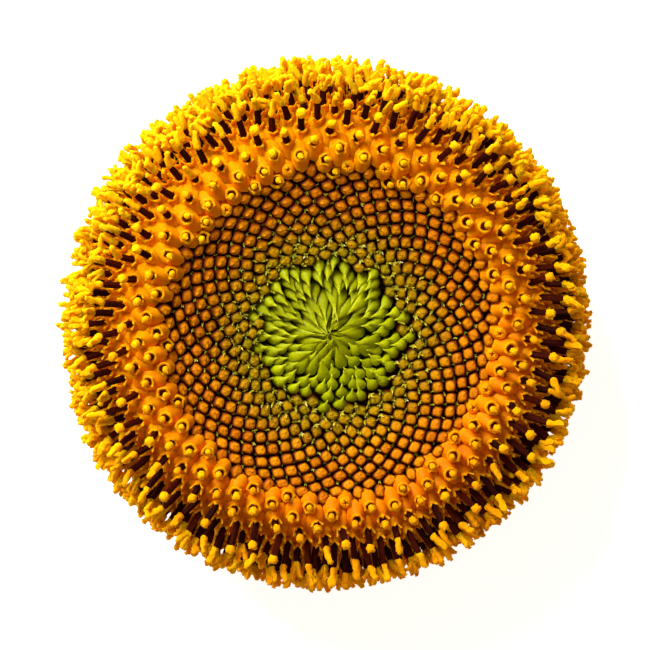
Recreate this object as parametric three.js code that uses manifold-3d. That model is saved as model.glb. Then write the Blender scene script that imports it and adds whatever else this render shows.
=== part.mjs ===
// A sunflower head without its ray petals, cut from the plant and lying face up on the cut end of its stalk.
// Millimetres, +Z up. The origin is the middle of the stalk's cut face, which lies on the surface.
// Florets stand on the receptacle in the golden angle's spiral, youngest in the middle. From the middle out
// they are green and shut under pointed scales, amber buds, orange cups that are opening, and long open
// florets round the rim, with brown anther tubes and yellow pollen at their tips.
import * as THREE from "three";
import { mergeVertices } from "three/addons/utils/BufferGeometryUtils.js";
import Module from "manifold-3d";

// The receptacle: a shallow bowl with a rounded rim, on a short stalk
const FLAT_RADIUS = 33.5;
const RIM_ROUND = 8.5;
const RIM_TURN = (88 * Math.PI) / 180;
const FLOOR_HEIGHT = 24;
const BOWL_DEPTH = 2.6;
const STALK_RADIUS = 12;
const BACK_HEIGHT = 8;

// The florets: where each stage of growth ends, measured along the receptacle from its middle
const CENTRE_EDGE = 15.6;
const BUD_EDGE = 32.8;
const OPENING_EDGE = 38.6;
const RIM_END = FLAT_RADIUS + RIM_ROUND * RIM_TURN;
const YOUNG_AREA = 7.6;
const GROWN_AREA = 11.6;
const GOLDEN_ANGLE = Math.PI * (3 - Math.sqrt(5));

// How high the florets are packed side by side: in the middle, in the buds, and how much longer they are where they
// open and shorter again at the rim
const CENTRE_PACKED = 3.2;
const BUD_PACKED = 4.9;
const OPENING_GAIN = 3.1;
const RIM_LOSS = 2;

// What stands above the packed part of a floret in each stage
const SCALE_RISE = 1.5;
const SCALE_LEAN = 1.1;
const BUD_RISE = 2.1;
const BUD_SHARE = 0.72;
const CUP_RISE = 2.4;
const CUP_RADIUS = 1.6;
const CUP_DEPTH = 1.4;
const MOUTH_RISE = 2.3;
const MOUTH_RADIUS = 1.7;
const ANTHER_RADIUS = 0.95;
const YOUNG_ANTHER = 2.2;
const GROWN_ANTHER = 3.7;
const POLLEN_RADIUS = 1.1;
const POLLEN_TIP = 1.3;

// Air left between neighbouring pieces
const SIDE_GAP = 0.3;
const FOOT_GAP = 0.5;

// The bracts under the rim
const BRACT_COUNT = 26;
const BRACT_LENGTH = 14.5;
const BRACT_WIDTH = 11.5;
const BRACT_EDGE = 0.62;
const BRACT_KEEL = 1.3;

const wasm = await Module();
wasm.setup();

// A repeatable random number from 0 to 1 for each seed
function chance(seed) {
  const x = Math.sin(seed * 127.1 + 311.7) * 43758.5453;
  return x - Math.floor(x);
}

function mix(a, b, t) {
  return a + (b - a) * t;
}

function smooth(from, to, x) {
  const t = Math.min(Math.max((x - from) / (to - from), 0), 1);
  return t * t * (3 - 2 * t);
}

// A point h above the receptacle, s along its surface from the middle. Florets lean out where the rim turns down.
function place(s, angle, h) {
  const lean = Math.max(s - FLAT_RADIUS, 0) / RIM_ROUND;
  const flat = Math.min(s, FLAT_RADIUS);
  const bowl = BOWL_DEPTH * (0.5 + 0.5 * Math.cos((Math.PI * flat) / FLAT_RADIUS));
  const radius = flat + (RIM_ROUND + h) * Math.sin(lean);
  const height = FLOOR_HEIGHT - bowl - RIM_ROUND + (RIM_ROUND + h) * Math.cos(lean);
  return new THREE.Vector3(radius * Math.cos(angle), radius * Math.sin(angle), height);
}

function footRadius(s) {
  return Math.hypot(place(s, 0, 0).x, 0);
}

function floretArea(s) {
  return mix(YOUNG_AREA, GROWN_AREA, smooth(0, CENTRE_EDGE, s));
}

// The florets in order of age, each with the room that its stage of growth needs
const florets = [];
const stepAlong = 0.01;
for (let s = 0, room = 0.5; s < RIM_END + 12; s += stepAlong) {
  room += (2 * Math.PI * footRadius(s) * stepAlong) / floretArea(s);
  if (room >= 1) {
    florets.push({ s, angle: florets.length * GOLDEN_ANGLE });
    room -= 1;
  }
}

function countWithin(edge) {
  return florets.findIndex((floret) => floret.s > edge);
}

// The spirals that a floret's nearest neighbours lie on go up through the Fibonacci numbers as the head widens.
const SPIRALS = [3, 5, 8, 13, 21, 34, 55, 89, 144];

function spiralChange(k) {
  const wanted = SPIRALS[k] * SPIRALS[k + 2];
  const found = florets.findIndex(
    ({ s }) => (2 * Math.PI * footRadius(s)) ** 2 / (Math.sqrt(5) * floretArea(s)) > wanted,
  );
  return found < 0 ? florets.length : found;
}

// The hollows between florets: each lies in the middle of four neighbours, or of three where the spirals change.
// The first one is the head's own middle, where the five innermost florets that are kept meet in a point.
const FIRST_FLORET = 3;
const hollows = [[0, 1, 2, 3, 4, 5, 6, 7]];
let spiralStart = 0;
for (let k = 0; spiralStart < florets.length && k + 2 < SPIRALS.length; k += 1) {
  const [a, b] = [SPIRALS[k], SPIRALS[k + 1]];
  const change = Math.max(spiralChange(k), spiralStart + 1);
  for (let i = spiralStart; i < change; i += 1) hollows.push([i, i + a, i + b, i + a + b]);
  for (let i = change; i < change + b; i += 1) hollows.push([i, i + a, i + a + b]);
  spiralStart = change;
}

const hollowsOf = new Map();
hollows.forEach((around, id) => {
  if (around.some((i) => i >= florets.length)) return;
  around.forEach((i) => {
    if (!hollowsOf.has(i)) hollowsOf.set(i, []);
    hollowsOf.get(i).push(id);
  });
});

function nearAngle(angle, near) {
  const turn = 2 * Math.PI;
  return angle - turn * Math.round((angle - near) / turn);
}

function middleOf(indices, near) {
  if (indices === hollows[0]) return { s: 0, angle: near };
  const s = indices.reduce((sum, i) => sum + florets[i].s, 0) / indices.length;
  const angle = indices.reduce((sum, i) => sum + nearAngle(florets[i].angle, near), 0) / indices.length;
  return { s, angle };
}

// The ids of the hollows round a floret, in order round it
function cellOf(index) {
  const { s, angle } = florets[index];
  const turned = (id) => {
    const middle = middleOf(hollows[id], angle);
    return Math.atan2((middle.angle - angle) * footRadius(s), middle.s - s);
  };
  return [...hollowsOf.get(index)].sort((p, q) => turned(p) - turned(q));
}

// One closed body: the florets from first up to last, on a shared foot. shapeOf gives a floret's rings, from the
// hollows up, each with a height, a share of the room or a radius, and how far it bends inward or sideways.
function floretRing(first, last, valley, shapeOf) {
  const points = [];
  const faces = [];
  const add = (point) => points.push(point) - 1;
  const quad = (a, b, c, d) => faces.push(a, b, c, a, c, d);

  const cells = new Map();
  for (let i = first; i < last; i += 1) cells.set(i, cellOf(i));
  const uses = new Map();
  cells.forEach((ids) =>
    ids.forEach((id, j) => {
      const next = ids[(j + 1) % ids.length];
      uses.set(`${id}>${next}`, true);
    }),
  );
  const isEdge = (id, next) => !uses.has(`${next}>${id}`);
  const edgeIds = new Set();
  cells.forEach((ids) =>
    ids.forEach((id, j) => {
      const next = ids[(j + 1) % ids.length];
      if (isEdge(id, next)) edgeIds.add(id).add(next);
    }),
  );

  // A hollow on the ring's edge is drawn back towards the florets that share it, to leave air to the next ring.
  const corners = new Map();
  const corner = (id, near) => {
    if (!corners.has(id)) {
      const middle = middleOf(hollows[id], near);
      if (edgeIds.has(id)) {
        const own = hollows[id].filter((i) => i >= first && i < last);
        const inner = middleOf(own, near);
        const apart = Math.hypot(inner.s - middle.s, (inner.angle - middle.angle) * footRadius(middle.s));
        const share = Math.min(SIDE_GAP / apart, 0.5);
        middle.s = mix(middle.s, inner.s, share);
        middle.angle = mix(middle.angle, inner.angle, share);
      }
      middle.top = add(place(middle.s, middle.angle, valley(middle.s)));
      middle.foot = add(place(middle.s, middle.angle, FOOT_GAP));
      corners.set(id, middle);
    }
    return corners.get(id);
  };

  cells.forEach((ids, index) => {
    const floret = florets[index];
    const around = ids.map((id) => corner(id, floret.angle));
    let below = around.map((c) => c.top);
    const { rings, tip } = shapeOf(floret, index);
    const bent = ({ height, inward = 0, sideways = 0 }, at) =>
      place(at.s - inward, at.angle + sideways / footRadius(floret.s), height);
    rings.forEach((ring) => {
      const centre = bent(ring, floret);
      const above = around.map((c) => {
        const near = { s: c.s, angle: c.s ? nearAngle(c.angle, floret.angle) : floret.angle };
        const out = bent(ring, near).sub(centre);
        return add(out.setLength(ring.radius ?? ring.share * out.length()).add(centre));
      });
      below.forEach((p, j) => {
        const k = (j + 1) % below.length;
        quad(p, below[k], above[k], above[j]);
      });
      below = above;
    });
    const point = add(bent(tip, floret));
    below.forEach((p, j) => faces.push(p, below[(j + 1) % below.length], point));
    for (let j = 1; j + 1 < around.length; j += 1) {
      faces.push(around[0].foot, around[j + 1].foot, around[j].foot);
    }
    ids.forEach((id, j) => {
      const next = ids[(j + 1) % ids.length];
      if (!isEdge(id, next)) return;
      const [a, b] = [corners.get(id), corners.get(next)];
      quad(b.top, a.top, a.foot, b.foot);
    });
  });

  return geometryOf(points, faces);
}

function geometryOf(points, faces) {
  const geometry = new THREE.BufferGeometry().setFromPoints(points);
  geometry.setIndex(faces);
  const flat = geometry.toNonIndexed();
  flat.computeVertexNormals();
  return flat;
}

// How far up the florets are packed side by side. They are longest where they open, and shorter again at the rim.
function packedHeight(s) {
  const buds = mix(CENTRE_PACKED, BUD_PACKED, smooth(2, CENTRE_EDGE, s));
  const opened = OPENING_GAIN * smooth(BUD_EDGE - 1.5, OPENING_EDGE - 1.5, s);
  return buds + opened - RIM_LOSS * smooth(OPENING_EDGE, RIM_END, s);
}

// A green scale, whose point bends over towards the middle
function scaleShape({ s }) {
  const low = packedHeight(s);
  const rise = SCALE_RISE + (0.4 * s) / CENTRE_EDGE;
  return {
    rings: [{ height: low + rise * 0.75, share: 0.7, inward: 0.15 }],
    tip: { height: low + rise + 0.45, inward: SCALE_LEAN },
  };
}

// A shut bud with a blunt, four-cornered top
function budShape({ s }, index) {
  const top = packedHeight(s) + BUD_RISE + 0.3 * (chance(index) - 0.5);
  return {
    rings: [{ height: top - 0.45, share: BUD_SHARE }],
    tip: { height: top + 0.1 },
  };
}

// A floret that has just opened: a cup with a hollow in it
function cupShape({ s }, index) {
  const mouth = packedHeight(s) + CUP_RISE + 0.5 * (chance(index) - 0.5);
  return {
    rings: [{ height: mouth, radius: CUP_RADIUS }],
    tip: { height: mouth - CUP_DEPTH },
  };
}

// An open floret: the orange tube, the anther tube that stands out of it, and its pollen-covered tip
function openShape({ s }, index) {
  const mouth = packedHeight(s) + MOUTH_RISE + 0.8 * (chance(index) - 0.5);
  const grown = smooth(OPENING_EDGE - 1, OPENING_EDGE + 4, s);
  const column = mix(YOUNG_ANTHER, GROWN_ANTHER, grown) + 0.9 * (chance(index + 0.3) - 0.5);
  const bend = { inward: 1.1 * (chance(index + 0.5) - 0.5), sideways: 1.3 * (chance(index + 0.7) - 0.5) };
  return {
    rings: [
      { height: mouth, radius: MOUTH_RADIUS },
      { height: mouth + 0.1, radius: ANTHER_RADIUS },
      { height: mouth + column, radius: POLLEN_RADIUS, ...bend },
    ],
    tip: { height: mouth + column + POLLEN_TIP, ...bend },
  };
}

const budStart = countWithin(CENTRE_EDGE);
const openingStart = countWithin(BUD_EDGE);
const openStart = countWithin(OPENING_EDGE);
const floretEnd = countWithin(RIM_END);

// The receptacle with its stalk, turned round the head's axis
function receptacle() {
  const top = [];
  [0, 0.45, 0.75, 1].forEach((share) => top.push(place(share * FLAT_RADIUS, 0, 0)));
  for (let step = 1; step <= 5; step += 1) top.push(place(mix(FLAT_RADIUS, RIM_END, step / 5), 0, 0));
  const profile = [
    new THREE.Vector2(0, 0),
    new THREE.Vector2(STALK_RADIUS - 0.4, 0),
    new THREE.Vector2(STALK_RADIUS, 0.5),
    new THREE.Vector2(STALK_RADIUS + 0.6, 3.4),
    new THREE.Vector2(STALK_RADIUS + 2.6, 6.2),
    new THREE.Vector2(STALK_RADIUS + 8, BACK_HEIGHT),
    new THREE.Vector2(30, BACK_HEIGHT + 1.6),
    new THREE.Vector2(37, BACK_HEIGHT + 3.5),
    new THREE.Vector2(41.2, BACK_HEIGHT + 5.6),
    ...top.reverse().map((p) => new THREE.Vector2(p.x, p.z)),
  ];
  profile[profile.length - 1].x = 0;
  return new THREE.LatheGeometry(profile, 40).rotateX(Math.PI / 2);
}

function solidOf(geometry) {
  geometry.deleteAttribute("normal");
  geometry.deleteAttribute("uv");
  const merged = mergeVertices(geometry, 1e-4);
  return new wasm.Manifold(
    new wasm.Mesh({
      numProp: 3,
      vertProperties: merged.attributes.position.array,
      triVerts: new Uint32Array(merged.index.array),
    }),
  );
}

// The skin round the back of the rim that all the bracts grow from
function bractBand() {
  const inside = [
    [28.5, 8.75],
    [36.8, 10.9],
    [41, 13],
  ];
  const outside = [
    [41.6, 12],
    [37.4, 9.7],
    [28.9, 7.5],
  ];
  const profile = [...inside, ...outside, inside[0]].map(([r, z]) => new THREE.Vector2(r, z));
  return new THREE.LatheGeometry(profile.reverse(), 40).rotateX(Math.PI / 2);
}

// One bract: a pointed leaf with a keel, whose foot is sunk in the band. Later bracts grow lower on the back.
function bract(index) {
  const angle = (floretEnd + index) * GOLDEN_ANGLE;
  const drop = index / BRACT_COUNT;
  const length = BRACT_LENGTH * (1 + 0.1 * (chance(index + 900) - 0.5));
  const foot = new THREE.Vector2(mix(39.2, 31.6, drop), mix(11.5, 8.5, drop));
  const bend = foot.clone().add(new THREE.Vector2(length * 0.42, -length * mix(0.14, 0.2, drop)));
  const tip = foot.clone().add(new THREE.Vector2(length * 0.78, -length * mix(0.36, 0.48, chance(index + 950))));
  const line = new THREE.QuadraticBezierCurve(foot, bend, tip);
  const out = new THREE.Vector3(Math.cos(angle), Math.sin(angle), 0);
  const across = new THREE.Vector3(-Math.sin(angle), Math.cos(angle), 0);
  const widths = [0.76, 1, 0.9, 0.5];
  const points = [];
  const faces = [];
  widths.forEach((share, row) => {
    const t = row / widths.length;
    const { x: r, y: z } = line.getPoint(t);
    const half = (BRACT_WIDTH * share) / 2;
    const keel = out.clone().multiplyScalar(r).setZ(z);
    const edge = keel.clone().setZ(z + 0.1 * half);
    [
      keel.clone().setZ(z + BRACT_KEEL / 2),
      edge.clone().addScaledVector(across, -half).add(new THREE.Vector3(0, 0, BRACT_EDGE / 2)),
      edge.clone().addScaledVector(across, -half).add(new THREE.Vector3(0, 0, -BRACT_EDGE / 2)),
      keel.clone().setZ(z - BRACT_KEEL / 2),
      edge.clone().addScaledVector(across, half).add(new THREE.Vector3(0, 0, -BRACT_EDGE / 2)),
      edge.clone().addScaledVector(across, half).add(new THREE.Vector3(0, 0, BRACT_EDGE / 2)),
    ].forEach((p) => points.push(p));
  });
  const around = 6;
  for (let row = 0; row + 1 < widths.length; row += 1) {
    for (let j = 0; j < around; j += 1) {
      const [a, b] = [row * around + j, row * around + ((j + 1) % around)];
      faces.push(a, b, b + around, a, b + around, a + around);
    }
  }
  const last = (widths.length - 1) * around;
  const end = line.getPoint(1);
  points.push(out.clone().multiplyScalar(end.x).setZ(end.y));
  for (let j = 0; j < around; j += 1) faces.push(last + j, last + ((j + 1) % around), points.length - 1);
  for (let j = 1; j + 1 < around; j += 1) faces.push(0, j + 1, j);
  return geometryOf(points, faces);
}

function involucre() {
  const bracts = Array.from({ length: BRACT_COUNT }, (_, index) => solidOf(bract(index)));
  const whole = wasm.Manifold.union([solidOf(bractBand()), ...bracts]).simplify(0.02);
  const { numProp, vertProperties, triVerts } = whole.getMesh();
  const points = [];
  for (let i = 0; i < vertProperties.length; i += numProp) {
    points.push(new THREE.Vector3(...vertProperties.subarray(i, i + 3)));
  }
  return geometryOf(points, Array.from(triVerts));
}

const PIECES = [
  ["receptacle", receptacle(), "#93a85a", 0.75],
  ["involucre", involucre(), "#5f8a35", 0.7],
  ["centre_florets", floretRing(FIRST_FLORET, budStart, packedHeight, scaleShape), "#8fa814", 0.55],
  ["bud_florets", floretRing(budStart, openingStart, packedHeight, budShape), "#b26a0c", 0.55],
  ["opening_florets", floretRing(openingStart, openStart, packedHeight, cupShape), "#f08a0a", 0.5],
  ["pollen_florets", floretRing(openStart, floretEnd, packedHeight, openShape), "#f5b408", 0.65],
];

const head = new THREE.Group();
PIECES.forEach(([name, geometry, color, roughness]) => {
  const material = new THREE.MeshStandardMaterial({ color, roughness, metalness: 0 });
  const mesh = new THREE.Mesh(geometry, material);
  mesh.name = name;
  head.add(mesh);
});

export default head;
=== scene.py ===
"""A sunflower head without its ray petals, lying face up on the cut end of its stalk.

Metres, +Z up, with the origin in the middle of the stalk's cut face. Each small part of the head is modelled
once and planted over the receptacle along the golden angle's spiral, from the green middle to the pollen at
the rim.
"""
from math import atan2, cos, hypot, log, pi, radians, sin, sqrt

import bmesh
import bpy
from mathutils import Matrix, Vector


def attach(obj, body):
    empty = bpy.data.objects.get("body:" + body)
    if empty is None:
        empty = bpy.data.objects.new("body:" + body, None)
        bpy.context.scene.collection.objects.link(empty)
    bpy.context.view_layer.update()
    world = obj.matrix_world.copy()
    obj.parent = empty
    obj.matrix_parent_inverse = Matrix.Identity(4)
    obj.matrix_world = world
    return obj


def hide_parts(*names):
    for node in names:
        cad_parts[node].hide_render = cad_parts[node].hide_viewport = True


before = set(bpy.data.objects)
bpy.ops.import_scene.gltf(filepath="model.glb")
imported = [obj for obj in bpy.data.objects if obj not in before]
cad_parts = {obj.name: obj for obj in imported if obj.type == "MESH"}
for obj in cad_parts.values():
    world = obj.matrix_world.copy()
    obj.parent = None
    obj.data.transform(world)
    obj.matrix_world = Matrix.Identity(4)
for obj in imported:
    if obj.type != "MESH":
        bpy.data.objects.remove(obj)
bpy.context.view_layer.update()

MM = 0.001

# The receptacle's surface, as the frame has it
FLAT_RADIUS = 33.5 * MM
RIM_ROUND = 8.5 * MM
RIM_TURN = radians(88)
FLOOR_HEIGHT = 24 * MM
BOWL_DEPTH = 2.6 * MM
STALK_RADIUS = 12 * MM
BACK_HEIGHT = 8 * MM
RIM_END = FLAT_RADIUS + RIM_ROUND * RIM_TURN

# The head is a little longer along Y than along X, and no pollen reaches far above this height
LONG_WAY = 1.015
TOP_HEIGHT = 34.2 * MM

# Where each stage of growth ends, measured along the receptacle from its middle
CENTRE_EDGE = 15.6 * MM
BUD_EDGE = 33.2 * MM
OPENING_EDGE = 35.9 * MM
TALLEST = 37.4 * MM
KNOB_EDGE = 38.2 * MM
FORK_EDGE = 40.4 * MM

# How far those edges are blurred by chance
EDGE_BLUR = 0.7 * MM
CENTRE_BLUR = 1.7 * MM

# The way to the side of the head that opened first, from +X. It is also the side turned away from the lamp,
# where the corollas and pollen are painted darker and more ochre as shade.
OLD_AND_SHADED_SIDE = radians(-62)

# The room one floret takes up: in the green middle, among the buds, where they are open, and at the rim
CENTRE_AREA = 4.8 * MM**2
BUD_AREA = 6.5 * MM**2
OPEN_AREA = 7 * MM**2
RIM_AREA = 3.3 * MM**2
GOLDEN_ANGLE = pi * (3 - sqrt(5))
SPIRALS = [2, 3, 5, 8, 13, 21, 34, 55, 89, 144]

# How far an anther tube, a knob and a finger of pollen stand up
ANTHER_LENGTH = 4.1 * MM
KNOB_REACH = 2.1 * MM
FINGER_REACH = 4.8 * MM

# The stalk's side under the disc, by how much wider it gets at each height, in millimetres, and its hairs
STALK_FLARE = [(0, 0.5), (0.2, 2), (0.7, 3.6), (1.5, 5), (3, 6.4)]
STALK_SIDE = [(STALK_RADIUS + wider * MM, height * MM) for wider, height in STALK_FLARE]
HAIR_COUNT = 1100

# The bracts behind the rim
BRACT_COUNT = 26
BRACT_LENGTH = 14.5 * MM
BRACT_WIDTH = 11.5 * MM
BRACT_ROWS = 12

# The photograph's view: how far off the camera stands, how it is tipped, the height it looks at, and the
# size of one pixel at the head
CAMERA_AWAY = 560 * MM
CAMERA_AIM = 21 * MM
CAMERA_TIP = radians(13)
CAMERA_WEST = radians(28)
PIXEL = 0.2065 * MM
PHOTO_PIXELS = 650
HEAD_MIDDLE = (326, 325)
SENSOR = 36.0

# The soft lamp: how high and how far west of north it stands, how far off, how wide and how strong
LAMP_HEIGHT = radians(31)
LAMP_WEST = radians(34)
LAMP_AWAY = 0.9
LAMP_SIZE = 0.5
LAMP_ENERGY = 14.5
ROOM_GLOW = 0.32


def chance(seed):
    """A repeatable random number from 0 to 1."""
    wave = sin(seed * 127.1 + 311.7) * 43758.5453
    return wave % 1


def either_way(seed):
    """A repeatable random number from -1 to 1."""
    return 2 * chance(seed) - 1


def mix(a, b, share):
    return a + (b - a) * share


def smooth(start, end, x):
    t = min(max((x - start) / (end - start), 0), 1)
    return t * t * (3 - 2 * t)


def lean_at(s):
    """How far the receptacle's surface has turned outwards there, s along it from the middle."""
    return max(s - FLAT_RADIUS, 0) / RIM_ROUND


def surface(s, angle, height):
    """A point above the receptacle, s along its surface from the middle."""
    lean = lean_at(s)
    flat = min(s, FLAT_RADIUS)
    bowl = BOWL_DEPTH * (0.5 + 0.5 * cos(pi * flat / FLAT_RADIUS))
    radius = flat + (RIM_ROUND + height) * sin(lean)
    up = FLOOR_HEIGHT - bowl - RIM_ROUND + (RIM_ROUND + height) * cos(lean)
    return Vector((radius * cos(angle), radius * sin(angle) * LONG_WAY, up))


def foot_radius(s):
    return surface(s, 0, 0).x


def floret_area(s):
    """The room that a floret has at that place."""
    bud = mix(CENTRE_AREA, BUD_AREA, smooth(CENTRE_EDGE * 0.6, BUD_EDGE * 0.8, s))
    opened = mix(OPEN_AREA, RIM_AREA, smooth(OPENING_EDGE + 1 * MM, OPENING_EDGE + 6 * MM, s))
    return mix(bud, opened, smooth(BUD_EDGE, OPENING_EDGE, s))


def packed_height(s):
    """How far up the florets are packed side by side."""
    buds = mix(3.2, 4.9, smooth(2 * MM, CENTRE_EDGE, s)) * MM
    opened = 3.1 * MM * smooth(BUD_EDGE - 1.5 * MM, TALLEST - 1.5 * MM, s)
    return buds + opened - 2 * MM * smooth(TALLEST, RIM_END, s)


def place_florets():
    """(s, angle) of every floret from the middle out, and of some past the rim for the last ones' cells."""
    placed = []
    step = 0.01 * MM
    s, room = 0.0, 0.5
    while s < RIM_END + 12 * MM:
        room += 2 * pi * foot_radius(s) * step / floret_area(s)
        if room >= 1:
            placed.append((s, len(placed) * GOLDEN_ANGLE))
            room -= 1
        s += step
    return placed


FLORETS = place_florets()


def toward(index, other):
    """The way from one floret to another, out and sideways along the surface."""
    (s, angle), (other_s, other_angle) = FLORETS[index], FLORETS[other]
    turn = (other_angle - angle + pi) % (2 * pi) - pi
    return Vector((other_s - s, turn * (foot_radius(s) + foot_radius(other_s)) / 2))


def cell(index):
    """The two sides of a floret's cell: the ways to its nearest neighbours on the two squarest spirals."""
    def crookedness(pair):
        one, two = (toward(index, index + count) for count in pair)
        return abs(one.dot(two)) / (one.length * two.length) + abs(log(one.length / two.length))

    pair = min(zip(SPIRALS, SPIRALS[1:]), key=crookedness)
    one, two = (toward(index, index + count) for count in pair)
    return (one, two) if one.cross(two) > 0 else (two, one)


def axes_at(s, angle):
    """Out along the surface, sideways, and up along the floret."""
    lean = lean_at(s)
    out = Vector((cos(angle), sin(angle), 0))
    side = Vector((-sin(angle), cos(angle), 0))
    up = Vector((0, 0, 1))
    return out * cos(lean) - up * sin(lean), side, out * sin(lean) + up * cos(lean)


def stand(s, angle, height, outward=0.0, sideways=0.0):
    """Where a part stands, its Z up along the floret and its X outward, leaning by those angles."""
    turned = Matrix(axes_at(s, angle)).transposed().to_4x4()
    return Matrix.Translation(surface(s, angle, height)) @ turned @ leaning(outward, sideways)


def leaning(outward, sideways):
    return Matrix.Rotation(outward, 4, "Y") @ Matrix.Rotation(sideways, 4, "X")


def spun(turn, wide=1.0, tall=1.0, deep=None):
    """Turns a part on its own axis and sizes it."""
    return Matrix.Rotation(turn, 4, "Z") @ Matrix.Diagonal((wide, deep or wide, tall, 1))


# Shaping by hand

def begin(name, sides, radius, at=(0, 0, 0)):
    """Starts a part as a filled ring, in edit mode with its face selected."""
    bpy.ops.object.select_all(action="DESELECT")
    bpy.ops.mesh.primitive_circle_add(vertices=sides, radius=radius, fill_type="NGON", location=at)
    part = bpy.context.object
    part.name = name
    bpy.ops.object.transform_apply(location=True)
    bpy.ops.object.mode_set(mode="EDIT")
    bpy.ops.mesh.select_all(action="SELECT")
    return part


def raise_wall(profile):
    """Extrudes the selected face through rings of (radius, height) round the Z axis, from the first on."""
    for (radius, height), (next_radius, next_height) in zip(profile, profile[1:]):
        raise_ring(next_height - height, next_radius / radius, next_height)


def raise_ring(rise, spread, height=0.0):
    """Extrudes the selection upwards and widens it."""
    bpy.ops.mesh.extrude_region_move(TRANSFORM_OT_translate={"value": (0, 0, rise)})
    bpy.ops.transform.resize(value=(spread, spread, 1), center_override=(0, 0, height))


def grow(steps, at=(0, 0, 0)):
    """Extrudes the selected face along a path that bends in the XZ plane, and closes its tip.

    Each step is (length, turn, spread).
    """
    here = Vector(at)
    lean = 0.0
    for length, turn, spread in steps:
        lean += radians(turn)
        move = Vector((sin(lean), 0, cos(lean))) * length
        here += move
        bpy.ops.mesh.extrude_region_move(TRANSFORM_OT_translate={"value": move})
        bpy.ops.transform.rotate(value=-radians(turn), orient_axis="Y", center_override=here)
        bpy.ops.transform.resize(value=(spread, spread, spread), center_override=here)
    bpy.ops.mesh.merge(type="CENTER")


def choose(part, test):
    """Selects the vertices whose place passes the test, and the faces between them."""
    bpy.ops.mesh.select_all(action="DESELECT")
    mesh = bmesh.from_edit_mesh(part.data)
    for vert in mesh.verts:
        vert.select = test(vert.co)
    mesh.select_flush(True)
    bmesh.update_edit_mesh(part.data)


def ray(point, sides):
    """Which of a ring's rays a point lies on, counted from +Y."""
    return round((atan2(point.y, point.x) - pi / 2) * sides / (2 * pi)) % sides


def end(part, crease=50):
    """Leaves edit mode, smooths the part and marks how far along it each point is."""
    bpy.ops.object.mode_set(mode="OBJECT")
    bpy.ops.object.shade_smooth_by_angle(angle=radians(crease))
    heights = [vert.co.z for vert in part.data.vertices]
    low, high = min(heights), max(heights)
    along = part.data.attributes.new("along", "FLOAT", "POINT")
    along.data.foreach_set("value", [(height - low) / (high - low) for height in heights])
    return part


def join(parts, name):
    """Makes the parts one mesh."""
    bpy.ops.object.select_all(action="DESELECT")
    for part in parts:
        part.select_set(True)
    bpy.context.view_layer.objects.active = parts[0]
    bpy.ops.object.join()
    whole = bpy.context.object
    whole.name = whole.data.name = name
    return whole


def roughen(seed, depth):
    """Pushes the points of the part in hand in and out by up to that depth."""
    bpy.ops.mesh.select_all(action="SELECT")
    bpy.ops.transform.vertex_random(offset=depth, normal=1, seed=seed)


def plant(name, places):
    """Copies each place's part there, gives the copy its own tone, and joins all of them in one piece.

    A place is a part, a matrix or a function of each point, and a tone.
    """
    copies = []
    for part, put, tone in places:
        copy = part.copy()
        copy.data = part.data.copy()
        if isinstance(put, Matrix):
            copy.data.transform(put)
        else:
            for vert in copy.data.vertices:
                vert.co = put(vert.co)
        tones = copy.data.attributes.new("tone", "FLOAT", "POINT")
        tones.data.foreach_set("value", [tone] * len(copy.data.vertices))
        bpy.context.collection.objects.link(copy)
        copies.append(copy)
    return join(copies, name)


# The parts that repeat

def make_scale(name, thick, steps):
    """A young floret's scale: a flattened hood that leans over towards the middle and ends in a point."""
    scale = begin(name, 10, 1 * MM)
    bpy.ops.transform.resize(value=(thick, 1.12, 1), center_override=(0, 0, 0))
    grow([(length * MM, turn, spread) for length, turn, spread in steps])
    return end(scale)


def make_bud(name, seed):
    """A shut bud, one unit from its middle to its side: a rounded square post with a low domed top."""
    bpy.ops.object.select_all(action="DESELECT")
    bpy.ops.mesh.primitive_cube_add(size=2, location=(0, 0, -2.1), scale=(1, 1, 1.8))
    bud = bpy.context.object
    bud.name = name
    bpy.ops.object.transform_apply(location=True, scale=True)
    bpy.ops.object.mode_set(mode="EDIT")
    bpy.ops.mesh.select_mode(type="EDGE")
    bpy.ops.mesh.select_all(action="DESELECT")
    mesh = bmesh.from_edit_mesh(bud.data)
    for edge in mesh.edges:
        edge.select = abs(edge.verts[0].co.z - edge.verts[1].co.z) > 1
    bmesh.update_edit_mesh(bud.data)
    bpy.ops.mesh.bevel(offset=0.56, segments=3, affect="EDGES")
    bpy.ops.mesh.select_mode(type="VERT")
    choose(bud, lambda point: point.z < -1)
    bpy.ops.transform.resize(value=(0.82, 0.82, 1), center_override=(0, 0, 0))
    choose(bud, lambda point: point.z > -1)
    for spread, rise in ((0.96, 0.16), (0.86, 0.17), (0.68, 0.14), (0.4, 0.07)):
        raise_ring(rise, spread)
    bpy.ops.mesh.poke()
    roughen(seed, 0.1)
    end(bud)
    star = bud.data.uv_layers.new(name="star")
    for loop in bud.data.loops:
        point = bud.data.vertices[loop.vertex_index].co
        star.data[loop.index].uv = (point.x, point.y)
    return bud


def make_chaff():
    """The dry three-pointed end of a scale, which stands up between the buds."""
    prongs = []
    for lean, length in ((0, 1.25), (34, 0.8), (-34, 0.8)):
        prong = begin("prong", 4, 0.17 * MM)
        third = length / 3 * MM
        grow([(1.05 * third, lean, 0.85), (0.9 * third, lean * 0.3, 0.7), (1.05 * third, 8, 0.4)])
        prongs.append(end(prong))
    return join(prongs, "chaff")


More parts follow.
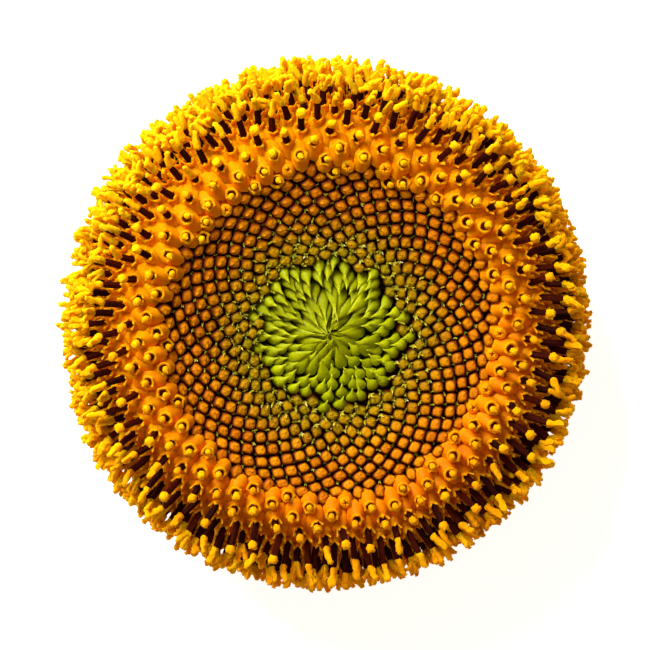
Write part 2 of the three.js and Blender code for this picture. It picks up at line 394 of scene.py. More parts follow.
def make_corolla(name, seed, belly, mouth, lobe, flare, lip, hole):
    """A floret's corolla: a tube that widens upwards, with five pointed lobes round its mouth at height 0.

    Belly and mouth are radii in millimetres. Lobe is how far the lobes rise, and flare how far they open.
    Lip is the share of the mouth that its lips take, and hole is how deep the hollow is.
    """
    sides = 10
    corolla = begin(name, sides, 0.5 * MM, at=(0, 0, -9.5 * MM))
    neck = 0.88 * mouth
    tube = [(0.5, -9.5), (0.8, -7.4), (1.35, -5.6), (belly, -3.4), (belly, -1.2), (neck, -0.6), (mouth, 0)]
    raise_wall([(radius * MM, height * MM) for radius, height in tube])
    bpy.ops.mesh.extrude_region_move(TRANSFORM_OT_translate={"value": (0, 0, 0.04 * MM)})
    choose(corolla, lambda point: point.z > 0.02 * MM and ray(point, sides) % 2 == 0)
    bpy.ops.transform.translate(value=(0, 0, lobe * MM))
    bpy.ops.transform.resize(value=(flare, flare, 1), center_override=(0, 0, 0))
    choose(corolla, lambda point: point.z > 0.02 * MM)
    for spread, rise in ((1 - lip * 0.4, 0.12), (1 - lip * 0.75, -0.12)):
        raise_ring(rise * MM, spread)
    bpy.ops.mesh.extrude_region_move(TRANSFORM_OT_translate={"value": (0, 0, -0.7 * MM)})
    bpy.ops.transform.resize(value=(0.94, 0.94, 0.1), center_override=(0, 0, -0.5 * MM))
    bpy.ops.mesh.extrude_region_move(TRANSFORM_OT_translate={"value": (0, 0, -hole * MM)})
    bpy.ops.transform.resize(value=(0.8, 0.8, 0), center_override=(0, 0, -(hole + 0.5) * MM))
    roughen(seed, 0.1 * MM)
    return end(corolla, crease=70)


def fitted_in(s, angle, level, turn, wide, free):
    """How a corolla is put in its place: its foot fills the room between its neighbours."""
    spin = Matrix.Rotation(turn, 4, "Z") @ Matrix.Scale(wide, 4)

    def put(point):
        flat = spin @ point
        packed = surface(s + flat.x, angle + flat.y / foot_radius(s), level + point.z)
        return packed.lerp(free @ flat, smooth(-1.4 * MM, -0.4 * MM, point.z))

    return put


def make_anthers():
    """The tube of five joined anthers, ribbed where they meet, which stands up from height 0."""
    sides = 10
    tube = begin("anthers", sides, 0.5 * MM, at=(0, 0, -2.4 * MM))
    profile = [(0.5, -2.4), (0.62, -0.4), (0.7, 0.8), (0.72, 2.4), (0.68, 3.6), (0.55, 4.05), (0.3, 4.2)]
    raise_wall([(radius * MM, height * MM) for radius, height in profile])
    choose(tube, lambda point: ray(point, sides) % 2 == 1)
    bpy.ops.transform.resize(value=(0.84, 0.84, 1), center_override=(0, 0, 0))
    return end(tube, crease=35)


def make_pollen_knob():
    """A lump of pollen pushed out of a young anther tube."""
    knob = begin("pollen_knob", 9, 0.5 * MM)
    belly = [(0.15 * MM, 0, 1.65), (0.35 * MM, 0, 1.2), (0.4 * MM, 0, 1.02)]
    dome = [(0.4 * MM, 5, 0.95), (0.35 * MM, 5, 0.85), (0.2 * MM, 0, 0.6)]
    grow(belly + dome)
    roughen(4, 0.2 * MM)
    return end(knob, crease=80)


def make_pollen_finger(name, bend, seed):
    """A style covered in pollen, which has grown on out of its anther tube."""
    finger = begin(name, 6, 0.5 * MM)
    first = [(0.15 * MM, 0, 1.38), (0.4 * MM, bend, 1.12)]
    middle = [(0.6 * MM, bend, 0.94)] * 5
    last = [(0.3 * MM, bend, 0.82), (0.2 * MM, 0, 0.6)]
    grow(first + middle + last)
    roughen(seed, 0.26 * MM)
    return end(finger, crease=80)


def make_pollen_fork(name, spread, seed):
    """A ripe style whose two stigma branches curl apart."""
    arms = []
    for way in (-1, 1):
        arm = begin(name + "_arm", 6, 0.48 * MM)
        first = [(0.15 * MM, 0, 1.3), (0.45 * MM, 12 * way, 1.05), (0.45 * MM, 12 * way, 0.98)]
        curled = [(0.48 * MM, spread * way, 0.95)] * 5
        last = [(0.3 * MM, spread * way, 0.8), (0.2 * MM, 0, 0.6)]
        grow(first + curled + last)
        roughen(seed + way, 0.22 * MM)
        arms.append(end(arm, crease=80))
    return join(arms, name)


def make_hair():
    """A stiff hair of the stalk, thick at its foot."""
    hair = begin("hair", 3, 0.08 * MM, at=(0, 0, -0.2 * MM))
    grow([(0.5 * MM, 0, 0.7), (0.4 * MM, 14, 0.6), (0.4 * MM, 14, 0.4)], at=(0, 0, -0.2 * MM))
    return end(hair)


# The whole pieces

def build_receptacle():
    """The fleshy disc and the stub of its stalk."""
    sides = 72
    cut = STALK_RADIUS - 0.5 * MM
    piece = begin("receptacle_body", sides, cut)
    underside = [
        (STALK_RADIUS + 5.2 * MM, BACK_HEIGHT - 0.6 * MM), (STALK_RADIUS + 8.5 * MM, BACK_HEIGHT + 0.1 * MM),
        (26 * MM, BACK_HEIGHT + 0.8 * MM), (32 * MM, BACK_HEIGHT + 1.9 * MM),
        (37 * MM, BACK_HEIGHT + 3.4 * MM), (40 * MM, BACK_HEIGHT + 4.8 * MM),
        (41.6 * MM, BACK_HEIGHT + 6.6 * MM),
    ]
    rim = [mix(RIM_END, FLAT_RADIUS, step / 5) for step in range(6)]
    inner = [FLAT_RADIUS * share for share in (0.8, 0.6, 0.4, 0.2, 0.05)]
    top = [(foot_radius(s), surface(s, 0, 0).z) for s in rim + inner]
    raise_wall([(cut, 0)] + STALK_SIDE + underside + top)
    bpy.ops.mesh.merge(type="CENTER")
    choose(piece, lambda point: 0.2 * MM < point.z < 7.6 * MM and ray(point, sides) % 3 == 1)
    bpy.ops.transform.resize(value=(0.975, 0.975, 1), center_override=(0, 0, 0))
    return end(piece)


def plant_hairs():
    """Short stiff hairs round the stalk, pointing out and a little down."""
    hair = make_hair()
    places = []
    for index in range(HAIR_COUNT):
        step = chance(index + 0.5) * (len(STALK_SIDE) - 1)
        (inner, low), (outer, high) = STALK_SIDE[int(step)], STALK_SIDE[int(step) + 1]
        radius, height = mix(inner, outer, step % 1), mix(low, high, step % 1)
        angle = index * GOLDEN_ANGLE
        here = Matrix.Translation((radius * cos(angle), radius * sin(angle), height + 0.2 * MM))
        tipped = leaning(radians(95) + 0.3 * either_way(index), 0.3 * either_way(index + 5))
        sized = spun(0, tall=mix(0.7, 1.3, chance(index + 9)))
        places.append((hair, here @ Matrix.Rotation(angle, 4, "Z") @ tipped @ sized, chance(index)))
    piece = plant("stalk_hairs", places)
    bpy.data.objects.remove(hair)
    return piece


def bract_width(t):
    """How wide a bract one unit long is at that share of its length: widest near its foot, then a point."""
    belly = 0.76 + 0.9 * t - 0.66 * t * t
    taper = (1 - t**5) ** 0.9 * (1 - 0.62 * t**2)
    return max(BRACT_WIDTH / BRACT_LENGTH * belly * taper, 0.012)


def make_bract():
    """One bract lying along +X from its foot: a pointed leaf with a keel, one unit long."""
    bpy.ops.object.select_all(action="DESELECT")
    bpy.ops.mesh.primitive_grid_add(x_subdivisions=BRACT_ROWS, y_subdivisions=8, size=1, location=(0.5, 0, 0))
    bract = bpy.context.object
    bract.name = "bract"
    bpy.ops.object.transform_apply(location=True)
    bpy.ops.object.mode_set(mode="EDIT")
    for row in range(BRACT_ROWS + 1):
        t = row / BRACT_ROWS
        choose(bract, lambda point: abs(point.x - t) < 0.2 / BRACT_ROWS)
        bpy.ops.transform.resize(value=(1, bract_width(t), 1), center_override=(t, 0, 0))
        bpy.ops.transform.translate(value=(0, 0, 0.16 * (t - t * t) + 0.05 * t**3))
    bpy.ops.object.mode_set(mode="OBJECT")
    mark_leaf(bract.data)
    for vert in bract.data.vertices:
        vert.co.z += 1.1 * abs(vert.co.y) ** 1.5 - 0.02 * cos(vert.co.x * 26) * abs(vert.co.y)
    solidify = bract.modifiers.new("thickness", "SOLIDIFY")
    solidify.thickness = 0.05
    solidify.offset = 0
    bpy.ops.object.modifier_apply(modifier=solidify.name)
    return end(bract, crease=60)


def mark_leaf(mesh):
    """Gives the bract a UV map of how far along it a point is, and how far from its midrib to its edge."""
    half = {}
    for vert in mesh.vertices:
        row = round(vert.co.x * BRACT_ROWS)
        half[row] = max(half.get(row, 0), abs(vert.co.y))
    leaf = mesh.uv_layers.new(name="leaf")
    for loop in mesh.loops:
        point = mesh.vertices[loop.vertex_index].co
        leaf.data[loop.index].uv = (point.x, point.y / half[round(point.x * BRACT_ROWS)])


def bract_line(index, count):
    """A bract's foot and tip, as (radius, height), and the angle it grows at."""
    drop = index / BRACT_COUNT
    length = BRACT_LENGTH * (1 + 0.1 * (chance(index + 900) - 0.5))
    foot = Vector((mix(39.2, 31.6, drop), mix(11.5, 8.5, drop))) * MM
    tip = foot + Vector((0.78, -mix(0.36, 0.48, chance(index + 950)))) * length
    return foot, tip, (count + index) * GOLDEN_ANGLE


def build_bracts(count):
    """The bracts, which carry on the florets' spiral round the back of the rim."""
    bract = make_bract()
    places = []
    for index in range(BRACT_COUNT):
        foot, tip, angle = bract_line(index, count)
        out, side, up = axes_at(0, angle)
        run = out * (tip.x - foot.x) + up * (tip.y - foot.y)
        across = side * run.length
        basis = Matrix((run, across, run.cross(side).normalized() * run.length)).transposed().to_4x4()
        start = out * foot.x + up * foot.y
        places.append((bract, Matrix.Translation(start) @ basis, chance(index + 40)))
    piece = plant("bracts", places)
    bpy.data.objects.remove(bract)
    return piece


def build_band():
    """The skin that the bracts grow from, round the back of the rim."""
    rings = [(28.5, 8.75), (28.9, 7.5), (33, 8.5), (37.4, 9.7), (40, 11), (41.6, 12), (41, 13), (36.8, 10.9)]
    wall = [(radius * MM, height * MM) for radius, height in rings]
    (inner, start), (_, last) = wall[0], wall[-1]
    bpy.ops.object.select_all(action="DESELECT")
    bpy.ops.mesh.primitive_circle_add(vertices=96, radius=inner, location=(0, 0, start))
    band = bpy.context.object
    band.name = "bract_band"
    bpy.ops.object.transform_apply(location=True)
    bpy.ops.object.mode_set(mode="EDIT")
    bpy.ops.mesh.select_all(action="SELECT")
    raise_wall(wall)
    choose(band, lambda point: hypot(point.x, point.y) < inner + 0.2 * MM or abs(point.z - last) < 0.01 * MM)
    bpy.ops.mesh.bridge_edge_loops()
    bpy.ops.mesh.select_all(action="SELECT")
    bpy.ops.mesh.normals_make_consistent(inside=False)
    return end(band)


# Materials

def paint(code):
    """An sRGB hex colour as linear RGBA."""
    shares = [int(code[i : i + 2], 16) / 255 for i in (1, 3, 5)]
    return (*(c / 12.92 if c <= 0.04045 else ((c + 0.055) / 1.055) ** 2.4 for c in shares), 1)


def start_material(name, sockets):
    """A material whose one shader has those values on its own sockets."""
    material = bpy.data.materials.new(name)
    material.use_nodes = True
    for socket, value in sockets.items():
        material.node_tree.nodes["Principled BSDF"].inputs[socket].default_value = value
    return material


def add_node(material, kind, inputs, **settings):
    """Adds a node with its settings. Each input takes a value or the output socket that feeds it."""
    node = material.node_tree.nodes.new(kind)
    for name, value in settings.items():
        setattr(node, name, value)
    for socket, value in inputs.items():
        if isinstance(value, bpy.types.NodeSocket):
            material.node_tree.links.new(value, node.inputs[socket])
        else:
            node.inputs[socket].default_value = value
    return node


def feed(material, colour, bump):
    """Links the finished colour and bump to the material's shader."""
    shader = material.node_tree.nodes["Principled BSDF"]
    for socket, source in (("Base Color", colour), ("Normal", bump)):
        material.node_tree.links.new(source, shader.inputs[socket])
    return material


def blend(material, share, low, high):
    """A colour between two others. The node's colour sockets share their names, so they go by number."""
    return add_node(material, "ShaderNodeMix", {0: share, 6: low, 7: high}, data_type="RGBA").outputs[2]


def grain(material, size, detail=2.0):
    """Noise over the piece whose lumps have that size."""
    coords = add_node(material, "ShaderNodeTexCoord", {})
    inputs = {"Vector": coords.outputs["Object"], "Scale": 1 / size, "Detail": detail}
    return add_node(material, "ShaderNodeTexNoise", inputs).outputs["Fac"]


def share_of(material, value, low, high, to_low=0.0, to_high=1.0):
    """How far a value is on its way from low to high, as a share between the other two."""
    inputs = {0: value, 1: low, 2: high, 3: to_low, 4: to_high}
    return add_node(material, "ShaderNodeMapRange", inputs).outputs[0]


def mark(material, name):
    """A number that the piece's points carry."""
    return add_node(material, "ShaderNodeAttribute", {}, attribute_name=name).outputs["Fac"]


def combined(material, operation, first, second):
    """Two numbers made one by that operation."""
    return add_node(material, "ShaderNodeMath", {0: first, 1: second}, operation=operation).outputs[0]


def from_axis(material):
    """How far a point is from the head's axis, in metres."""
    coords = add_node(material, "ShaderNodeTexCoord", {})
    flat = {0: coords.outputs["Object"], 1: (1, 1, 0)}
    level = add_node(material, "ShaderNodeVectorMath", flat, operation="MULTIPLY").outputs[0]
    return add_node(material, "ShaderNodeVectorMath", {0: level}, operation="LENGTH").outputs["Value"]


def level_of(material):
    """How far up a point is."""
    coords = add_node(material, "ShaderNodeTexCoord", {})
    return add_node(material, "ShaderNodeSeparateXYZ", {0: coords.outputs["Object"]}).outputs[2]


def raised(material, height, depth, strength):
    """A bump of that depth."""
    inputs = {"Height": height, "Distance": depth, "Strength": strength}
    return add_node(material, "ShaderNodeBump", inputs).outputs["Normal"]


def mottled(material, colour, size, start, stop, share, spots):
    """The colour with spots of another one, whose lumps have that size."""
    spotted = share_of(material, grain(material, size), start, stop, 0, share)
    return blend(material, spotted, colour, paint(spots))


def young_scale_skin():
    """Living scales with a thin wax: satin, mottled green, paler towards the dry yellow points, and painted
    darker towards their feet as shade.
    """
    material = start_material("waxy_young_scale", {
        "Roughness": 0.5, "IOR": 1.33, "Specular IOR Level": 0.2, "Subsurface Weight": 0.3,
        "Subsurface Scale": 1 * MM, "Subsurface Radius": (0.8, 1, 0.05),
    })
    along = mark(material, "along")
    tone = mark(material, "tone")
    body = blend(material, tone, paint("#9ca200"), paint("#bcc000"))
    # Painted shade: the green runs darker towards the scales' feet, down where they crowd together.
    low = blend(material, share_of(material, along, 0.15, 0.5), paint("#5e6802"), body)
    tip = blend(material, share_of(material, along, 0.86, 1.0), low, paint("#d8da20"))
    skin = mottled(material, tip, 0.5 * MM, 0.35, 0.7, 0.5, "#748402")
    return feed(material, skin, raised(material, grain(material, 0.16 * MM), 0.05 * MM, 0.5))


def bud_skin():
    """Shut corollas: smooth amber petal tissue, olive while young, with five faint seams, and painted shade
    round the edges of their tops and down their sides.
    """
    material = start_material("bud_petal_skin", {
        "Roughness": 0.55, "IOR": 1.33, "Specular IOR Level": 0.12, "Subsurface Weight": 0.2,
        "Subsurface Scale": 0.6 * MM, "Subsurface Radius": (1, 0.45, 0.05),
    })
    ripe = share_of(material, from_axis(material), 18 * MM, 27 * MM)
    tone = mark(material, "tone")
    young = blend(material, tone, paint("#968200"), paint("#c89400"))
    old = blend(material, tone, paint("#d47600"), paint("#ec9400"))
    body = blend(material, ripe, young, old)
    uv = add_node(material, "ShaderNodeUVMap", {}, uv_map="star").outputs["UV"]
    split = add_node(material, "ShaderNodeSeparateXYZ", {0: uv})
    way = combined(material, "ARCTAN2", split.outputs[1], split.outputs[0])
    seam = combined(material, "PINGPONG", combined(material, "MULTIPLY", way, 5 / (2 * pi)), 0.5)
    reach = add_node(material, "ShaderNodeVectorMath", {0: uv}, operation="LENGTH").outputs["Value"]
    line = share_of(material, seam, 0.0, 0.09, 1, 0)
    seamed = blend(material, share_of(material, line, 0, 1, 0, 0.4), body, paint("#8a4204"))
    spots = share_of(material, grain(material, 0.6 * MM), 0.4, 0.75, 0, 0.45)
    spotted = blend(material, spots, seamed, blend(material, ripe, paint("#a08a08"), paint("#b06808")))
    # Painted shade: each top turns darker and redder towards its edge, where it rounds down into the gaps.
    side = blend(material, ripe, paint("#665600"), paint("#8a3c00"))
    painted_shade_flanks = blend(material, share_of(material, reach, 0.72, 0.98), spotted, side)
    # Painted shade: the lower sides of the posts are nearly black, as the shade down in the gaps between the
    # buds.
    deep = blend(material, share_of(material, mark(material, "along"), 0.8, 0.97), paint("#4a1a00"), painted_shade_flanks)
    height = combined(material, "SUBTRACT", grain(material, 0.25 * MM), line)
    return feed(material, deep, raised(material, height, 0.06 * MM, 0.6))


def chaff_skin():
    """Dry papery scale ends: thin, straw yellow and a little glossy, so they glint between the buds, and
    painted darker at their feet as shade.
    """
    material = start_material("dry_chaff", {"Roughness": 0.3, "IOR": 1.45})
    tone = mark(material, "tone")
    body = blend(material, tone, paint("#7f8212"), paint("#d8c52c"))
    # Painted shade: darker towards the foot, down between the buds.
    low = blend(material, share_of(material, mark(material, "along"), 0.0, 0.6), paint("#4a3a05"), body)
    return feed(material, low, raised(material, grain(material, 0.12 * MM), 0.03 * MM, 0.5))


def petal_tissue():
    """Open corollas: thin wet petal tissue that lets light through, so they glow orange round the tubes."""
    material = start_material("corolla_petal", {
        "Roughness": 0.55, "IOR": 1.33, "Specular IOR Level": 0.1, "Subsurface Weight": 0.6,
        "Subsurface Scale": 2.5 * MM, "Subsurface Radius": (1, 0.55, 0.03),
    })
    tone = mark(material, "tone")
    along = mark(material, "along")
    # The tone is darker and redder on the side turned away from the lamp, as painted shade, and otherwise
    # varies at random.
    body = blend(material, tone, paint("#f07800"), paint("#ffa000"))
    lobes = blend(material, share_of(material, along, 0.86, 0.96, 0, 0.6), body, paint("#ffa802"))
    tube = blend(material, share_of(material, along, 0.4, 0.8), paint("#f47200"), lobes)
    skin = mottled(material, tube, 0.9 * MM, 0.4, 0.75, 0.35, "#f68400")
    return feed(material, skin, raised(material, grain(material, 0.3 * MM), 0.05 * MM, 0.5))


def anther_skin():
    """Joined anthers: dull dark red-brown, nearly black, dusted with orange."""
    material = start_material("anther_wall", {"Roughness": 0.8, "IOR": 1.4, "Specular IOR Level": 0.08})
    tone = mark(material, "tone")
    body = blend(material, tone, paint("#1e0300"), paint("#3c0a00"))
    dusty = mottled(material, body, 0.35 * MM, 0.62, 0.8, 0.5, "#8a3a08")
    return feed(material, dusty, raised(material, grain(material, 0.15 * MM), 0.04 * MM, 0.6))


def pollen_skin():
    """Sticky pollen grains heaped on the styles: matt and crumbly, with a tone from ochre to yellow that is
    partly random and partly painted shade, ochre on the side turned away from the lamp.
    """
    material = start_material("sticky_pollen", {
        "Roughness": 0.9, "IOR": 1.4, "Specular IOR Level": 0.1, "Subsurface Weight": 0.55,
        "Subsurface Scale": 1.2 * MM, "Subsurface Radius": (1, 0.65, 0.03),
    })
    tone = mark(material, "tone")
    # The tone is ochre on the side turned away from the lamp, as painted shade, and otherwise varies at
    # random.
    body = blend(material, tone, paint("#e69000"), paint("#ffc200"))
    crumbs = grain(material, 0.45 * MM, 3)
    heap = blend(material, share_of(material, crumbs, 0.34, 0.5, 0.6, 0), body, paint("#eb9a00"))
    return feed(material, heap, raised(material, crumbs, 0.2 * MM, 1.0))


def green_tissue(name, low, high, vein):
    """A material of rough green tissue, its mottled colour and the height of its fine grain."""
    material = start_material(name, {
        "Roughness": 0.6, "IOR": 1.4, "Specular IOR Level": 0.3, "Subsurface Weight": 0.06,
    })
    broad = blend(material, share_of(material, grain(material, 3 * MM), 0.3, 0.7), paint(low), paint(high))
    fine = grain(material, 0.4 * MM)
    return material, blend(material, share_of(material, fine, 0.55, 0.8, 0, 0.4), broad, paint(vein)), fine


def stalk_skin(name, low, high, vein):
    """Rough green rind, the pale pith of the cut below, and a dark top above, painted as the shade down
    between the florets.
    """
    material, speckled, fine = green_tissue(name, low, high, vein)
    level, axis = level_of(material), from_axis(material)
    # Painted shade: the top of the disc between the florets, dark green in the middle and dark brown further
    # out.
    painted_shade_bed = blend(material, share_of(material, axis, 14 * MM, 24 * MM), paint("#5a6002"), paint("#6a2400"))
    whole = blend(material, share_of(material, level, 17 * MM, 19 * MM), speckled, painted_shade_bed)
    pith = blend(material, share_of(material, axis, 9.5 * MM, 11.5 * MM), paint("#e6e2bc"), paint("#a9b36e"))
    cut = blend(material, share_of(material, level, 0.1 * MM, 0.4 * MM), pith, whole)
    return feed(material, cut, raised(material, fine, 0.1 * MM, 0.5))


def bract_skin():
    """Dull green leaf tissue with a paler midrib and slanting side veins that stand up a little."""
    material, speckled, fine = green_tissue("bract_leaf", "#456e22", "#5f8a35", "#86a850")
    uv = add_node(material, "ShaderNodeUVMap", {}, uv_map="leaf").outputs["UV"]
    half = add_node(material, "ShaderNodeVectorMath", {0: uv}, operation="ABSOLUTE").outputs[0]
    slant = {0: half, 1: (9, -2.6, 0)}
    slanted = add_node(material, "ShaderNodeVectorMath", slant, operation="DOT_PRODUCT").outputs["Value"]
    side_veins = share_of(material, combined(material, "PINGPONG", slanted, 0.5), 0, 0.08, 0.6, 0)
    from_rib = add_node(material, "ShaderNodeSeparateXYZ", {0: half}).outputs[1]
    veins = combined(material, "MAXIMUM", side_veins, share_of(material, from_rib, 0.02, 0.1, 1, 0))
    veined = blend(material, veins, speckled, paint("#9dbb68"))
    return feed(material, veined, raised(material, combined(material, "ADD", fine, veins), 0.15 * MM, 0.6))


def hair_skin():
    """Stiff plant hairs: pale, thin and a little see-through, darker at the foot."""
    material = start_material("stiff_hair", {"Roughness": 0.4, "IOR": 1.5, "Subsurface Weight": 0.2})
    grown = share_of(material, mark(material, "along"), 0.1, 0.6)
    body = blend(material, mark(material, "tone"), paint("#b9c58c"), paint("#dfe3c0"))
    shaded = blend(material, grown, paint("#7f9a48"), body)
    return feed(material, shaded, raised(material, grain(material, 0.1 * MM), 0.02 * MM, 0.5))


def pale_floor():
    """A white light table: matt, and lit from below so that shadows on it stay pale."""
    return start_material("white_light_table", {
        "Roughness": 0.9, "Base Color": (0.8, 0.8, 0.8, 1),
        "Emission Color": (1, 1, 1, 1), "Emission Strength": 0.8,
    })


# Planting the head

def zone(start, stop, start_blur=0.0, stop_blur=0.0):
    """The florets from one place to another, with the ends blurred by chance."""
    inside = []
    for index, (s, _) in enumerate(FLORETS):
        way = either_way(index + 70)
        if s + start_blur * way >= start and s + stop_blur * way < stop:
            inside.append(index)
    return inside


def plant_centre():
    """The scales over the youngest florets: long blades in the middle, and short-pointed hoods round them."""
    blade = make_scale("blade", 0.6, [
        (2.4, 0, 1.12), (1.4, -16, 1.06), (0.9, -18, 1.0), (0.9, -14, 0.93), (0.9, -8, 0.84), (0.9, -4, 0.72),
        (0.9, 0, 0.56), (0.9, 4, 0.4), (0.8, 6, 0.3),
    ])
    hood = make_scale("hood", 0.85, [
        (2.4, 0, 1.1), (1.3, -6, 1.05), (0.7, -14, 0.99), (0.6, -16, 0.9), (0.6, -14, 0.74), (0.6, -8, 0.54),
        (0.7, -2, 0.42), (0.9, 4, 0.35),
    ])
    places = []
    for index in zone(1.3 * MM, CENTRE_EDGE, 0, CENTRE_BLUR):
        s, angle = FLORETS[index]
        outer = smooth(3 * MM, CENTRE_EDGE, s)
        kind = hood if s > (9 + 2.5 * either_way(index + 60)) * MM else blade
        height = packed_height(s) - (mix(2.6, 3.7, outer) + 0.25 * either_way(index)) * MM
        narrow = mix(0.6, 0.98, smooth(1 * MM, 8 * MM, s)) * (1 + 0.08 * either_way(index + 61))
        here = stand(s, angle, height, 0.1 * either_way(index + 62), 0.1 * either_way(index + 7))
        turn = 0.22 * either_way(index + 13)
        tall = mix(0.8, 1.0, outer) * (1 + 0.08 * either_way(index + 63))
        reach = mix(0.4, 1.0, smooth(0.5 * MM, 7 * MM, s))
        places.append((kind, here @ spun(turn, wide=reach, deep=narrow, tall=tall), chance(index)))
    piece = plant("centre_scales", places)
    for part in (blade, hood):
        bpy.data.objects.remove(part)
    return piece


def plant_buds():
    """The shut buds, each cut to its cell between the spirals and leaning a little inwards."""
    buds = [make_bud("bud", 3), make_bud("lumpy_bud", 8), make_bud("odd_bud", 12)]
    places = []
    for index in zone(CENTRE_EDGE, BUD_EDGE, CENTRE_BLUR, EDGE_BLUR):
        s, angle = FLORETS[index]
        one, two = cell(index)
        ripe = smooth(CENTRE_EDGE, 24 * MM, s)
        out, side, up = axes_at(s, angle)
        share = mix(0.445, 0.435, ripe) * (1 + 0.05 * either_way(index + 51))
        half = share * (one.length + two.length) / 2
        square = Vector((-one.y, one.x)).normalized() * two.length
        two = two.lerp(square, 0.6)
        first = (out * one.x + side * one.y) * share
        second = (out * two.x + side * two.y) * share
        top = packed_height(s) + 2.1 * MM + 0.22 * MM * either_way(index)
        basis = Matrix((first, second, up * half)).transposed().to_4x4()
        inward = Matrix.Rotation(0.34 * ripe, 4, side.cross(up).cross(up))
        jolt = leaning(0.14 * either_way(index + 3), 0.14 * either_way(index))
        turn = spun(0.16 * either_way(index + 7))
        put = Matrix.Translation(surface(s, angle, top)) @ inward @ basis @ jolt @ turn
        places.append((buds[index % 3], put, chance(index)))
    piece = plant("buds", places)
    for bud in buds:
        bpy.data.objects.remove(bud)
    return piece


def plant_chaff():
    """The dry scale ends at the corners between the buds, more of them near the middle."""
    chaff = make_chaff()
    places = []
    for index in zone(CENTRE_EDGE * 0.9, BUD_EDGE * 0.98):
        s, angle = FLORETS[index]
        one, two = cell(index)
        ripe = smooth(CENTRE_EDGE, 27 * MM, s)
        corners = (one + two, one - two) if chance(index + 31) < mix(0.95, 0.35, ripe) else (one + two,)
        for number, corner in enumerate(corners):
            seed = index * 2 + number
            at_s = s + corner.x / 2
            at_angle = angle + corner.y / 2 / foot_radius(s)
            top = packed_height(s) + mix(1.55, 0.95, ripe) * MM + 0.35 * MM * either_way(seed + 17)
            here = stand(at_s, at_angle, top, 0.5 * either_way(seed), 0.5 * either_way(seed + 5))
            sized = spun(pi * either_way(seed + 9), mix(1.7, 1.0, ripe), mix(1.3, 1.0, ripe))
            places.append((chaff, here @ sized, chance(seed)))
    piece = plant("chaff_tips", places)
    bpy.data.objects.remove(chaff)
    return piece


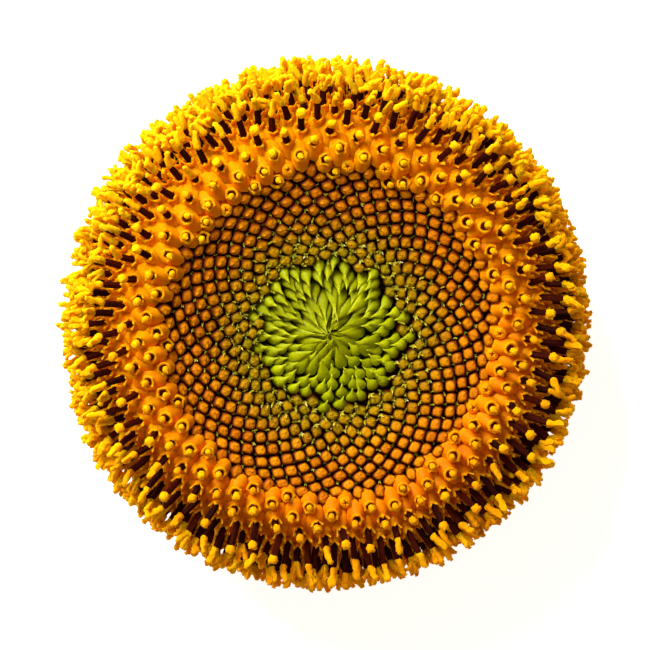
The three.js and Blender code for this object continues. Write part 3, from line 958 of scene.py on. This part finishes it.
def plant_open_florets():
    """The corollas, anther tubes and pollen of every floret that has opened."""
    shut_cup = make_corolla("shut_cup", 1, 1.7, 1.3, 0.3, 0.4, 0.5, 0.4)
    young_cups = [
        make_corolla("young_cup", 2, 1.9, 1.4, 0.4, 1.08, 0.36, 1.8),
        make_corolla("tilted_cup", 3, 1.9, 1.25, 0.6, 1.25, 0.34, 1.5),
    ]
    open_cup = make_corolla("open_cup", 4, 1.9, 1.05, 1.0, 1.35, 0.3, 0.8)
    anthers = make_anthers()
    knob = make_pollen_knob()
    fingers = [make_pollen_finger("finger", 2, 1), make_pollen_finger("bent_finger", 5, 9)]
    forks = [make_pollen_fork("fork", 4, 2), make_pollen_fork("curled_fork", 12, 7)]
    corollas, tubes, knobs, branches = [], [], [], []
    for index in zone(BUD_EDGE, RIM_END, EDGE_BLUR, EDGE_BLUR):
        s, angle = FLORETS[index]
        opened = smooth(BUD_EDGE + 1 * MM, OPENING_EDGE + 3 * MM, s + 0.8 * MM * either_way(index))
        rim = smooth(TALLEST + 1 * MM, RIM_END, s)
        level = packed_height(s) + (mix(1.8, 0.8, opened) + 1.4 * rim) * MM
        mouth = level + 0.45 * MM * either_way(index)
        outward, sideways = 0.12 * either_way(index + 3), 0.14 * either_way(index + 5)
        here = stand(s, angle, mouth, outward=outward, sideways=sideways)
        cup = young_cups[index % 2] if s < OPENING_EDGE else open_cup
        if s < BUD_EDGE + 1.1 * MM and chance(index + 77) < 0.3:
            cup = shut_cup
        wide = 1 + 0.1 * opened + 0.05 * either_way(index + 8)
        put = fitted_in(s, angle, level, 2 * pi * chance(index + 1), wide, here)
        # The tone leans to its darker end on the side turned away from the lamp: painted shade on the
        # corollas and pollen. The same side also gets longer tubes and more fingers.
        older_and_shaded = 0.5 + 0.5 * cos(angle - OLD_AND_SHADED_SIDE)
        fresh_and_lit = mix(chance(index), 1 - older_and_shaded, 0.6)
        corollas.append((cup, put, fresh_and_lit))
        if cup is shut_cup:
            continue
        spent = 2.2 if s > TALLEST + 2 * MM and index % 3 == 0 else 0
        length = (mix(0.3, 3.4, opened) + opened * (1.9 * older_and_shaded + 0.4 * either_way(index + 21))) * MM
        length -= max(2.8 * rim, spent) * MM
        column = here @ leaning(0.5 * opened * (1 - rim) + outward * 0.5, sideways * 0.5)
        ripe = s + 0.7 * MM * either_way(index + 15)
        reach = KNOB_REACH if ripe < KNOB_EDGE else FINGER_REACH
        over = (column @ Vector((0, 0, length + reach))).z - TOP_HEIGHT
        length = max(length - max(over, 0), 0.3 * MM)
        tubes.append((anthers, column @ spun(chance(index), tall=length / ANTHER_LENGTH), chance(index + 2)))
        aside = (1 - opened) * 0.45 * MM
        end_at = (aside * either_way(index + 4), aside * either_way(index + 9), length)
        top = column @ Matrix.Translation(end_at)
        turn, tall = 2 * pi * chance(index + 19), mix(0.85, 1.1, chance(index + 23))
        if ripe < KNOB_EDGE:
            knobs.append((knob, top @ spun(turn, mix(0.62, 1.0, opened)), fresh_and_lit))
            continue
        bend = leaning(0.25 * either_way(index + 11), 0.3 * either_way(index + 12))
        kind = fingers[index % 2] if ripe < FORK_EDGE else (fingers + forks)[index % 4]
        branches.append((kind, top @ bend @ spun(turn, 0.98, tall), fresh_and_lit))
        if ripe > KNOB_EDGE + (0.8 + older_and_shaded) * MM:
            splay = leaning(0.45 * either_way(index + 31), 0.5 * either_way(index + 37))
            branches.append((fingers[index % 2], top @ splay @ spun(turn, 0.9, tall * 0.9), fresh_and_lit))
        if ripe > KNOB_EDGE + (2 + 0.8 * older_and_shaded) * MM and (index % 3 or older_and_shaded > 0.4):
            splay = leaning(0.5 * either_way(index + 33), 0.6 * either_way(index + 39))
            branches.append((fingers[index % 2], column @ splay @ spun(turn, 0.85, tall), fresh_and_lit))
    pieces = [plant("corollas", corollas), plant("anther_tubes", tubes)]
    pieces += [plant("pollen_knobs", knobs), plant("pollen_fingers", branches)]
    for part in (shut_cup, *young_cups, open_cup, anthers, knob, *fingers, *forks):
        bpy.data.objects.remove(part)
    return pieces


# The camera, the light and the table

def toward_sky(west_of_north, height):
    """The way to a point in the sky."""
    flat = Vector((-sin(west_of_north), cos(west_of_north), 0)) * cos(height)
    return flat + Vector((0, 0, sin(height)))


def add_camera():
    """The camera over the head, tipped a little, with the photograph's own up."""
    tip = toward_sky(CAMERA_WEST, pi / 2 - CAMERA_TIP)
    right = Vector((0, 1, 0)).cross(tip).normalized()
    up = tip.cross(right)
    middle = PHOTO_PIXELS / 2
    off_x, off_y = HEAD_MIDDLE[0] - middle, middle - HEAD_MIDDLE[1]
    target = Vector((0, 0, CAMERA_AIM)) - right * off_x * PIXEL - up * off_y * PIXEL
    data = bpy.data.cameras.new("camera")
    data.sensor_width = SENSOR
    data.lens = SENSOR * CAMERA_AWAY / (PHOTO_PIXELS * PIXEL)
    data.clip_start = 0.01
    camera = bpy.data.objects.new("camera", data)
    bpy.context.collection.objects.link(camera)
    turned = Matrix((right, up, tip)).transposed().to_4x4()
    camera.matrix_world = Matrix.Translation(target + tip * CAMERA_AWAY) @ turned
    bpy.context.scene.camera = camera


def add_light():
    """One soft lamp from the upper left and a pale room."""
    data = bpy.data.lights.new("soft_lamp", "AREA")
    data.shape = "DISK"
    data.size = LAMP_SIZE
    data.energy = LAMP_ENERGY
    lamp = bpy.data.objects.new("soft_lamp", data)
    bpy.context.collection.objects.link(lamp)
    to_lamp = toward_sky(LAMP_WEST, LAMP_HEIGHT)
    lamp.location = to_lamp * LAMP_AWAY
    lamp.rotation_euler = to_lamp.to_track_quat("Z", "Y").to_euler()
    world = bpy.data.worlds.new("pale_room")
    world.use_nodes = True
    room = world.node_tree.nodes["Background"].inputs
    room["Strength"].default_value = ROOM_GLOW
    room["Color"].default_value = paint("#ffe8d0")
    bpy.context.scene.world = world
    bpy.context.scene.view_settings.view_transform = "Standard"


def add_table():
    """The pale table that the head lies on."""
    bpy.ops.object.select_all(action="DESELECT")
    bpy.ops.mesh.primitive_plane_add(size=3)
    table = bpy.context.object
    table.name = "table"
    table.data.materials.append(pale_floor())


def finish_piece(piece, material, slot, *nodes):
    """Gives the piece its material and hides the nodes that it stands in for; the slot is not used."""
    piece.data.materials.clear()
    piece.data.materials.append(material)
    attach(piece, "root")
    if nodes:
        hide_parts(*nodes)


# The scene

add_camera()
add_light()
add_table()
rind = stalk_skin("stalk_rind", "#7f9a48", "#9db566", "#b9c98a")
finish_piece(build_receptacle(), rind, "receptacle_green", "receptacle")
finish_piece(plant_hairs(), hair_skin(), "receptacle_green")
finish_piece(build_band(), stalk_skin("bract_foot", "#587f30", "#6f9440", "#8fae5a"), "bract_green")
finish_piece(build_bracts(len(zone(0, RIM_END))), bract_skin(), "bract_green", "involucre")
finish_piece(plant_centre(), young_scale_skin(), "young_green", "centre_florets")
finish_piece(plant_buds(), bud_skin(), "bud_amber", "bud_florets")
finish_piece(plant_chaff(), chaff_skin(), "young_green")
corollas, anther_tubes, pollen_knobs, pollen_fingers = plant_open_florets()
finish_piece(corollas, petal_tissue(), "corolla_orange", "opening_florets")
finish_piece(anther_tubes, anther_skin(), "anther_brown")
pollen_heap = pollen_skin()
finish_piece(pollen_knobs, pollen_heap, "pollen_yellow")
finish_piece(pollen_fingers, pollen_heap, "pollen_yellow", "pollen_florets")
